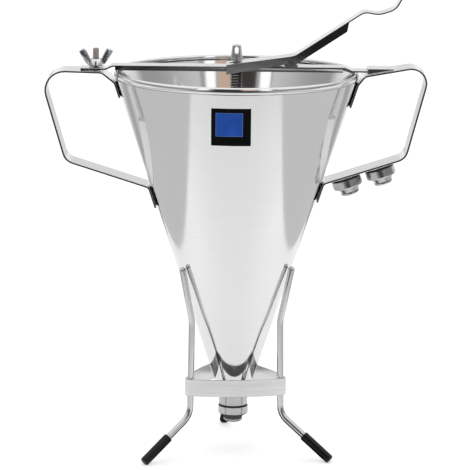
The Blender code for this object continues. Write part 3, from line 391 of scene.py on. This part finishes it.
CONE_STEEL = steel(
    "spun_steel", (0.84, 0.84, 0.845), 0.09, ROUND_Z, grain_scale=3.2, cloud=0.02, bump=0.015, line=0.93
)
STRAP_STEEL = steel("strap_steel", (0.80, 0.80, 0.82), 0.13, ALONG_X, grain_scale=2.0, cloud=0.06, bump=0.05)
# The bar's sides that look along Y get painted shade, darkened to 0.16 through side.
BAR_STEEL = steel(
    "bar_steel", (0.80, 0.80, 0.80), 0.14, ALONG_X, grain_scale=2.0, cloud=0.06, bump=0.05, side=0.16
)
# The lever's sides that look along Y get painted shade, darkened to 0.30 through side.
LEVER_STEEL = steel("lever_steel", (0.80, 0.80, 0.82), 0.15, ALONG_X, grain_scale=3.0, bump=0.12, side=0.30)
WIRE_STEEL = steel("leg_steel", (0.70, 0.70, 0.70), 0.12, ALONG_Z, grain_scale=2.0, cloud=0.1, bump=0.06)
BAND_STEEL = steel("band_steel", (0.78, 0.78, 0.785), 0.22, ROUND_Z, grain_scale=2.0, cloud=0.06)
NOZZLE_STEEL = steel("nozzle_steel", (0.56, 0.56, 0.56), 0.22, ROUND_Z, grain_scale=4.0)
KNOB_STEEL = steel("knob_steel", (0.60, 0.60, 0.60), 0.26, EVEN, grain_scale=4.0, cloud=0.15, bump=0.35)
STUD_STEEL = steel("stud_steel", (0.50, 0.43, 0.40), 0.22, ROUND_Z, grain_scale=3.0, cloud=0.3)
CHROME = steel("nut_chrome", (0.88, 0.89, 0.91), 0.16, EVEN, cloud=0.06, bump=0.04)
PIN_STEEL = steel("pin_steel", (0.22, 0.22, 0.23), 0.2, EVEN, grain_scale=3.0, cloud=0.2, bump=0.2)
# The piston rod and the return spring get a dark steel colour as painted shade, standing in for the shade
# under the cross bar inside the cone.
ROD_SHADED_STEEL = steel("rod_shaded_steel", (0.36, 0.35, 0.35), 0.16, ALONG_Z, grain_scale=2.0, cloud=0.1, bump=0.05)
SPRING_SHADED_STEEL = steel("spring_shaded_steel", (0.14, 0.13, 0.13), 0.22, EVEN, grain_scale=2.0, cloud=0.2)
RUBBER = moulded("seal_black", (0.02, 0.02, 0.02), 0.6, 0.25)
VINYL = moulded("cap_vinyl", (0.004, 0.004, 0.006), 0.22, 0.05, shine=0.3)


# Meshes
def add_piece(name, mesh, node, material):
    """Links a mesh as the piece that stands for a CAD node."""
    piece = bpy.data.objects.new(name, mesh)
    bpy.context.scene.collection.objects.link(piece)
    mesh.materials.clear()
    mesh.materials.append(material)
    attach(piece, NODES[node]["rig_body"])
    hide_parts(node)
    return piece


def smooth(mesh, angle):
    """Smooth shading over every edge that bends by less than the angle."""
    for face in mesh.polygons:
        face.use_smooth = True
    mesh.set_sharp_from_angle(angle=angle)


def is_folded(edge):
    """True for an edge where the sheet folds from a face that looks up to one that looks sideways."""
    if len(edge.link_faces) != 2:
        return False
    first, second = (face.normal for face in edge.link_faces)
    return any(a.z > UP_SHARE and abs(b.y) > SIDE_SHARE for a, b in ((first, second), (second, first)))


def dress(node, material, edge, fold=0.0):
    """A copy of a CAD node's mesh with rounded edges and smooth round sides. Folds get a wider radius.
    Round wire has no edge to round: its few sides are only shaded smooth."""
    shape = bmesh.new()
    shape.from_mesh(NODES[node].data)
    bmesh.ops.remove_doubles(shape, verts=shape.verts, dist=WELD)
    bmesh.ops.dissolve_limit(shape, angle_limit=FLAT_ANGLE, verts=shape.verts, edges=shape.edges)
    if fold:
        weights = shape.edges.layers.float.new("bevel_weight_edge")
        for line in shape.edges:
            line[weights] = 1.0 if is_folded(line) else 0.0
    mesh = bpy.data.meshes.new(node + "_dressed")
    shape.to_mesh(mesh)
    shape.free()
    piece = add_piece(node + "_dressed", mesh, node, material)
    smooth(mesh, ANY_ANGLE if edge else ROUND_ANGLE)
    if fold:
        bend = piece.modifiers.new("folds", "BEVEL")
        bend.width = fold
        bend.segments = FOLD_SEGMENTS
        bend.limit_method = "WEIGHT"
    if edge:
        rounding = piece.modifiers.new("edges", "BEVEL")
        rounding.width = edge
        rounding.segments = EDGE_SEGMENTS
        rounding.limit_method = "ANGLE"
        rounding.angle_limit = EDGE_ANGLE
        flats = piece.modifiers.new("flats", "WEIGHTED_NORMAL")
        flats.keep_sharp = True


def to_mesh(shape, name):
    """A mesh of the finished shape, with its faces looking outwards."""
    bmesh.ops.recalc_face_normals(shape, faces=shape.faces)
    mesh = bpy.data.meshes.new(name)
    shape.to_mesh(mesh)
    shape.free()
    return mesh


def skin(shape, rings):
    """Faces between rings of points, and one face over each end."""
    for here, ahead in zip(rings, rings[1:]):
        for i in range(len(here)):
            k = (i + 1) % len(here)
            shape.faces.new((here[i], here[k], ahead[k], ahead[i]))
    shape.faces.new(rings[0])
    shape.faces.new(rings[-1])


def lathe(profile, steps, centre=(0.0, 0.0)):
    """A ring mesh turned about a vertical axis. The closed profile holds (radius, height)."""
    shape = bmesh.new()
    rings = []
    for i in range(steps):
        angle = math.tau * i / steps
        ring = [
            shape.verts.new((centre[0] + r * math.cos(angle), centre[1] + r * math.sin(angle), z))
            for r, z in profile
        ]
        rings.append(ring)
    for i in range(steps):
        here, ahead = rings[i], rings[(i + 1) % steps]
        for j in range(len(profile)):
            k = (j + 1) % len(profile)
            shape.faces.new((here[j], ahead[j], ahead[k], here[k]))
    return to_mesh(shape, "turned")


def make_cone():
    """The spun cone with its rolled rim."""
    side_reach = RIM_RADIUS - BEAD_HALF_WIDTH / 2 - CONE_END_RADIUS
    slope = side_reach / (RIM_TOP - 2 * BEAD_HALF_HEIGHT - CONE_END)
    bead_radius = RIM_RADIUS - BEAD_HALF_WIDTH
    bead_height = RIM_TOP - BEAD_HALF_HEIGHT
    profile = []
    for i in range(BEAD_STEPS + 1):
        angle = BEAD_START + (BEAD_END - BEAD_START) * i / BEAD_STEPS
        reach = bead_radius + BEAD_HALF_WIDTH * math.cos(angle)
        profile.append((reach, bead_height + BEAD_HALF_HEIGHT * math.sin(angle)))
    foot = profile[-1][1]
    profile.append((CONE_END_RADIUS + (foot - CONE_END) * slope, foot - BEAD_FOOT_DROP))
    profile.append((CONE_END_RADIUS + CONE_SHEET / 8, CONE_END + CONE_SHEET / 4))
    profile.append((CONE_END_RADIUS - CONE_SHEET / 2, CONE_END))
    profile.append((CONE_END_RADIUS - CONE_SHEET, CONE_END + CONE_SHEET / 4))
    inner_top = profile[0][1] - INNER_TOP_DROP
    profile.append((CONE_END_RADIUS - CONE_SHEET + (inner_top - CONE_END) * slope, inner_top))
    mesh = lathe(profile, CONE_STEPS)
    smooth(mesh, TURNED_ANGLE)
    add_piece("cone_shell", mesh, "funnel_cone", CONE_STEEL)


def make_stud():
    """The stud with its thread as a real ridge."""
    low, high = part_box("bar_stud")
    middle = (low.x + high.x) / 2
    radius = (high.x - low.x) / 2
    rows = int((high.z - low.z) / THREAD_PITCH * THREAD_ROWS)
    shape = bmesh.new()
    rings = []
    for row in range(rows + 1):
        z = low.z + (high.z - low.z) * row / rows
        tip = 1.0 - min(1.0, (high.z - z) / STUD_TIP_HEIGHT)
        ring = []
        for i in range(STUD_STEPS):
            turn = i / STUD_STEPS
            phase = ((z - low.z) / THREAD_PITCH - turn) % 1.0
            ridge = abs(2.0 * phase - 1.0)
            r = radius - THREAD_DEPTH * (1.0 - ridge) - STUD_TIP_DEPTH * tip
            angle = math.tau * turn
            ring.append(shape.verts.new((middle + r * math.cos(angle), r * math.sin(angle), z)))
        rings.append(ring)
    skin(shape, rings)
    mesh = to_mesh(shape, "threaded_stud")
    smooth(mesh, ROUND_ANGLE)
    add_piece("stud_thread", mesh, "bar_stud", STUD_STEEL)


def wing_ring(along):
    """Points (across, along, thick) of one ring of a wing. Along runs from -1 at its root to 1 at its tip."""
    end = 1.0 - abs(along) ** WING_BOXY
    width = WING_ROOT_WIDTH + (WING_TIP_WIDTH - WING_ROOT_WIDTH) * (along + 1) / 2
    half_width = width / 2 * end ** (1 / WING_BOXY)
    swell = WING_ROOT_THICK + (WING_TIP_THICK - WING_ROOT_THICK) * min(1.0, (along + 1) / WING_SWELL_END)
    half_thick = swell / 2 * end**WING_RIM
    ring = []
    for i in range(WING_SIDES):
        angle = math.tau * i / WING_SIDES
        c, s = math.cos(angle), math.sin(angle)
        across = half_width * math.copysign(abs(c) ** WING_CORNER, c)
        out = half_thick * math.copysign(abs(s) ** WING_CORNER, s)
        ring.append((across, along * WING_HALF_LENGTH, out))
    return ring


def make_wing_nut():
    """The wing nut: a turned hub and two pressed wings, thicker towards their tips."""
    low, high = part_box("wing_nut")
    stud_low, stud_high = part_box("bar_stud")
    centre = (stud_low.x + stud_high.x) / 2
    top = low.z + HUB_HEIGHT
    hub = [
        (HUB_BORE, low.z),
        (HUB_BASE - HUB_EDGE, low.z),
        (HUB_BASE, low.z + HUB_EDGE),
        (HUB_TOP + HUB_EDGE / 2, top - HUB_EDGE),
        (HUB_TOP - HUB_EDGE, top),
        (HUB_BORE, top),
    ]
    shape = bmesh.new()
    shape.from_mesh(lathe(hub, HUB_STEPS, (centre, 0.0)))
    turn = Matrix.Translation((centre, 0.0, low.z)) @ Matrix.Rotation(WING_TURN, 4, "Z")
    for side in (-1, 1):
        root = Matrix.Translation((side * WING_REACH, 0.0, WING_LIFT))
        lean = turn @ root @ Matrix.Rotation(side * WING_LEAN, 4, "Y")
        rings = []
        for i in range(WING_RINGS + 1):
            along = -math.cos(math.pi * i / WING_RINGS) * WING_END_SHARE
            points = (Vector((across, out, up)) for across, up, out in wing_ring(along))
            rings.append([shape.verts.new(lean @ point) for point in points])
        skin(shape, rings)
    mesh = to_mesh(shape, "winged_nut")
    smooth(mesh, TURNED_ANGLE)
    add_piece("winged_nut", mesh, "wing_nut", CHROME)


def make_spring():
    """The return spring as a round wire."""
    low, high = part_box("return_spring")
    straight = 2 * SPRING_WIRE
    count = SPRING_CURLS * SPRING_STEPS
    points = [(SPRING_RADIUS, 0.0, low.z)]
    for i in range(count + 1):
        angle = math.tau * i / SPRING_STEPS
        z = low.z + straight + (high.z - low.z - 2 * straight) * i / count
        points.append((SPRING_RADIUS * math.cos(angle), SPRING_RADIUS * math.sin(angle), z))
    points.append((SPRING_RADIUS, 0.0, high.z))
    curve = bpy.data.curves.new("spring_wire", "CURVE")
    curve.dimensions = "3D"
    curve.bevel_depth = SPRING_WIRE
    curve.bevel_resolution = SPRING_WIRE_ROUNDNESS
    curve.use_fill_caps = True
    spline = curve.splines.new("POLY")
    spline.points.add(len(points) - 1)
    for point, place in zip(spline.points, points):
        point.co = (*place, 1.0)
    holder = bpy.data.objects.new("spring_curve", curve)
    bpy.context.scene.collection.objects.link(holder)
    bpy.context.view_layer.update()
    graph = bpy.context.evaluated_depsgraph_get()
    mesh = bpy.data.meshes.new_from_object(holder.evaluated_get(graph))
    bpy.data.objects.remove(holder)
    smooth(mesh, WIRE_ANGLE)
    coil = add_piece("spring_coil", mesh, "return_spring", SPRING_SHADED_STEEL)
    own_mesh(coil)


DRESSED = {
    "spout_collar": (NOZZLE_STEEL, "brushed_steel", FINE_EDGE),
    "left_handle": (STRAP_STEEL, "brushed_steel", SHEET_EDGE),
    "right_handle": (STRAP_STEEL, "brushed_steel", SHEET_EDGE),
    "stud_washer": (BAR_STEEL, "polished_steel", FINE_EDGE),
    "boss_inner": (NOZZLE_STEEL, "brushed_steel", FINE_EDGE),
    "boss_outer": (NOZZLE_STEEL, "brushed_steel", FINE_EDGE),
    "nozzle_fitted": (NOZZLE_STEEL, "brushed_steel", FINE_EDGE),
    "nozzle_inner": (NOZZLE_STEEL, "brushed_steel", FINE_EDGE),
    "nozzle_outer": (NOZZLE_STEEL, "brushed_steel", FINE_EDGE),
    "seal_fitted": (RUBBER, "seal_rubber", FINE_EDGE),
    "seal_inner": (RUBBER, "seal_rubber", FINE_EDGE),
    "seal_outer": (RUBBER, "seal_rubber", FINE_EDGE),
    "plug_seal": (RUBBER, "seal_rubber", FINE_EDGE),
    "cross_bar": (BAR_STEEL, "brushed_steel", SHEET_EDGE),
    "lever_bracket": (BAR_STEEL, "brushed_steel", FINE_EDGE),
    "pivot_pin": (PIN_STEEL, "polished_steel", FINE_EDGE),
    "lever": (LEVER_STEEL, "brushed_steel", SHEET_EDGE),
    "piston_rod": (ROD_SHADED_STEEL, "brushed_steel", FINE_EDGE),
    "rod_knob": (KNOB_STEEL, "brushed_steel", FINE_EDGE),
    "knob_washer": (BAR_STEEL, "brushed_steel", FINE_EDGE),
    "spring_washer": (BAR_STEEL, "polished_steel", FINE_EDGE),
    "spring_stop": (NOZZLE_STEEL, "brushed_steel", FINE_EDGE),
    "piston_plug": (NOZZLE_STEEL, "brushed_steel", FINE_EDGE),
    "stand_ring": (BAND_STEEL, "brushed_steel", SHEET_EDGE),
    "leg_front_left": (WIRE_STEEL, "wire_steel", NO_EDGE),
    "leg_front_right": (WIRE_STEEL, "wire_steel", NO_EDGE),
    "leg_rear": (WIRE_STEEL, "wire_steel", NO_EDGE),
    "foot_cap_front_left": (VINYL, "black_vinyl", SOFT_EDGE),
    "foot_cap_front_right": (VINYL, "black_vinyl", SOFT_EDGE),
    "foot_cap_rear": (VINYL, "black_vinyl", SOFT_EDGE),
}

make_cone()
make_stud()
make_spring()
make_wing_nut()
for node_name, (finish, slot_name, edge_width) in DRESSED.items():
    dress(node_name, finish, edge_width, FOLDS.get(node_name, 0.0))
dress("front_label", label_print(*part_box("front_label")), FINE_EDGE)


# Studio
def stage_plane(name, size, place, turn, material):
    """A flat sheet of the set, which isn't part of the object."""
    x, y = size[0] / 2, size[1] / 2
    mesh = bpy.data.meshes.new(name)
    mesh.from_pydata([(-x, -y, 0.0), (x, -y, 0.0), (x, y, 0.0), (-x, y, 0.0)], [], [(0, 1, 2, 3)])
    plane = bpy.data.objects.new(name, mesh)
    bpy.context.scene.collection.objects.link(plane)
    plane.location = place
    plane.rotation_euler = turn
    mesh.materials.append(material)
    return plane


def bare_material(name):
    """A material with an empty node tree, and its graph."""
    made = bpy.data.materials.new(name)
    made.use_nodes = True
    made.node_tree.nodes.clear()
    return made, Graph(made.node_tree)


def floor_material():
    """White paper that also shows white to the camera and in polished metal."""
    made, graph = bare_material("paper_floor")
    path = graph.add("ShaderNodeLightPath").outputs
    place = graph.add("ShaderNodeTexCoord").outputs["Object"]
    distance = graph.add("ShaderNodeVectorMath", Vector=place)
    distance.operation = "LENGTH"
    rise = graph.spread(distance.outputs["Value"], FLOOR_SEEN_GLOW, FLOOR_FAR_GLOW, FLOOR_NEAR, FLOOR_FAR)
    seen = graph.work_out("MULTIPLY", path["Is Camera Ray"], rise)
    depth = graph.add("ShaderNodeSeparateXYZ", Vector=place).outputs["Y"]
    front = graph.spread(depth, FLOOR_DIM_GLOW, FLOOR_GLOW, -FLOOR_DIM_END, -FLOOR_DIM_START)
    mirrored = graph.work_out("MULTIPLY", path["Is Glossy Ray"], front)
    glow = graph.add("ShaderNodeEmission", Strength=graph.work_out("ADD", seen, mirrored))
    paper = graph.add("ShaderNodeBsdfDiffuse", Color=tint(FLOOR_COLOUR))
    total = graph.add("ShaderNodeAddShader")
    graph.feed(total.inputs[0], paper.outputs[0])
    graph.feed(total.inputs[1], glow.outputs[0])
    graph.add("ShaderNodeOutputMaterial", Surface=total.outputs[0])
    return made


def card_material(name, colour, strength):
    made, graph = bare_material(name)
    glow = graph.add("ShaderNodeEmission", Color=tint(colour), Strength=strength)
    graph.add("ShaderNodeOutputMaterial", Surface=glow.outputs[0])
    return made


def card(name, size, place, colour, strength, flat):
    """A card beside the set that only shows in polished metal. It faces the cone, or lies flat."""
    place = Vector(place)
    away = place - Vector((0.0, 0.0, RIM_TOP))
    turn = (0.0, 0.0, 0.0) if flat else away.to_track_quat("Z", "Y").to_euler()
    made = stage_plane(name, size, place, turn, card_material(name + "_glow", colour, strength))
    made.visible_camera = False
    made.visible_diffuse = False
    made.visible_shadow = False
    made.visible_transmission = False


def lamp(name, place, size, power):
    """A soft lamp that polished metal doesn't mirror."""
    light = bpy.data.lights.new(name, "AREA")
    light.shape = "RECTANGLE"
    light.size, light.size_y = size
    light.energy = power
    holder = bpy.data.objects.new(name, light)
    holder.visible_glossy = False
    bpy.context.scene.collection.objects.link(holder)
    holder.location = place
    holder.rotation_euler = (Vector(place) - Vector(LAMP_AIM)).to_track_quat("Z", "Y").to_euler()


def room_ramp(graph, height):
    """How bright the mirrored room is at a height."""
    node = graph.add("ShaderNodeValToRGB", Fac=height)
    ramp = node.color_ramp
    ramp.interpolation = "EASE"
    low, high = ramp.elements
    low.position = ROOM_LOW_HEIGHT
    low.color = tint([ROOM_LOW] * 3)
    high.position = ROOM_HIGH_HEIGHT
    high.color = tint([ROOM_HIGH] * 3)
    ramp.elements.new(ROOM_MIDDLE_HEIGHT).color = tint([ROOM_MIDDLE] * 3)
    return node.outputs["Color"]


def make_world():
    """White to the camera, softer as a light, and in polished metal a bright ceiling over a grey room."""
    world = bpy.data.worlds.new("studio")
    bpy.context.scene.world = world
    world.use_nodes = True
    graph = Graph(world.node_tree)
    back = graph.tree.nodes["Background"]
    back.inputs["Color"].default_value = (1.0, 1.0, 1.0, 1.0)
    path = graph.add("ShaderNodeLightPath").outputs
    place = graph.add("ShaderNodeTexCoord").outputs["Generated"]
    parts = graph.add("ShaderNodeSeparateXYZ", Vector=place).outputs
    low_back = graph.spread(parts["Z"], 1.0, ROOM_BACK, *ROOM_BACK_HEIGHTS)
    behind = graph.spread(parts["Y"], 0.0, low_back, *ROOM_BACK_DEPTHS)
    room = graph.work_out("MAXIMUM", room_ramp(graph, parts["Z"]), behind)
    mirrored = graph.spread(path["Is Glossy Ray"], AMBIENT_LEVEL, room, 0.0, 1.0)
    straight = graph.work_out("MAXIMUM", path["Is Camera Ray"], path["Is Transmission Ray"])
    graph.feed(back.inputs["Strength"], graph.work_out("MAXIMUM", straight, mirrored))


stage_plane("floor", FLOOR_SIZE, FLOOR_PLACE, (0.0, 0.0, 0.0), floor_material())
make_world()
for lamp_name, values in LAMPS.items():
    lamp(lamp_name, *values)
for card_name, values in WALL_CARDS.items():
    card(card_name, *values, flat=False)
for card_name, values in FLOOR_CARDS.items():
    card(card_name, *values, flat=True)

view = bpy.data.cameras.new("photo_view")
view.lens = CAMERA_LENS
view.sensor_width = CAMERA_SENSOR
view.clip_end = CAMERA_REACH
camera = bpy.data.objects.new("photo_view", view)
bpy.context.scene.collection.objects.link(camera)
camera.matrix_world = (
    Matrix.Translation(CAMERA_PLACE)
    @ Matrix.Rotation(math.pi / 2 - CAMERA_DIP, 4, "X")
    @ Matrix.Rotation(CAMERA_ROLL, 4, "Z")
)
bpy.context.scene.camera = camera
bpy.context.scene.view_settings.view_transform = "Standard"
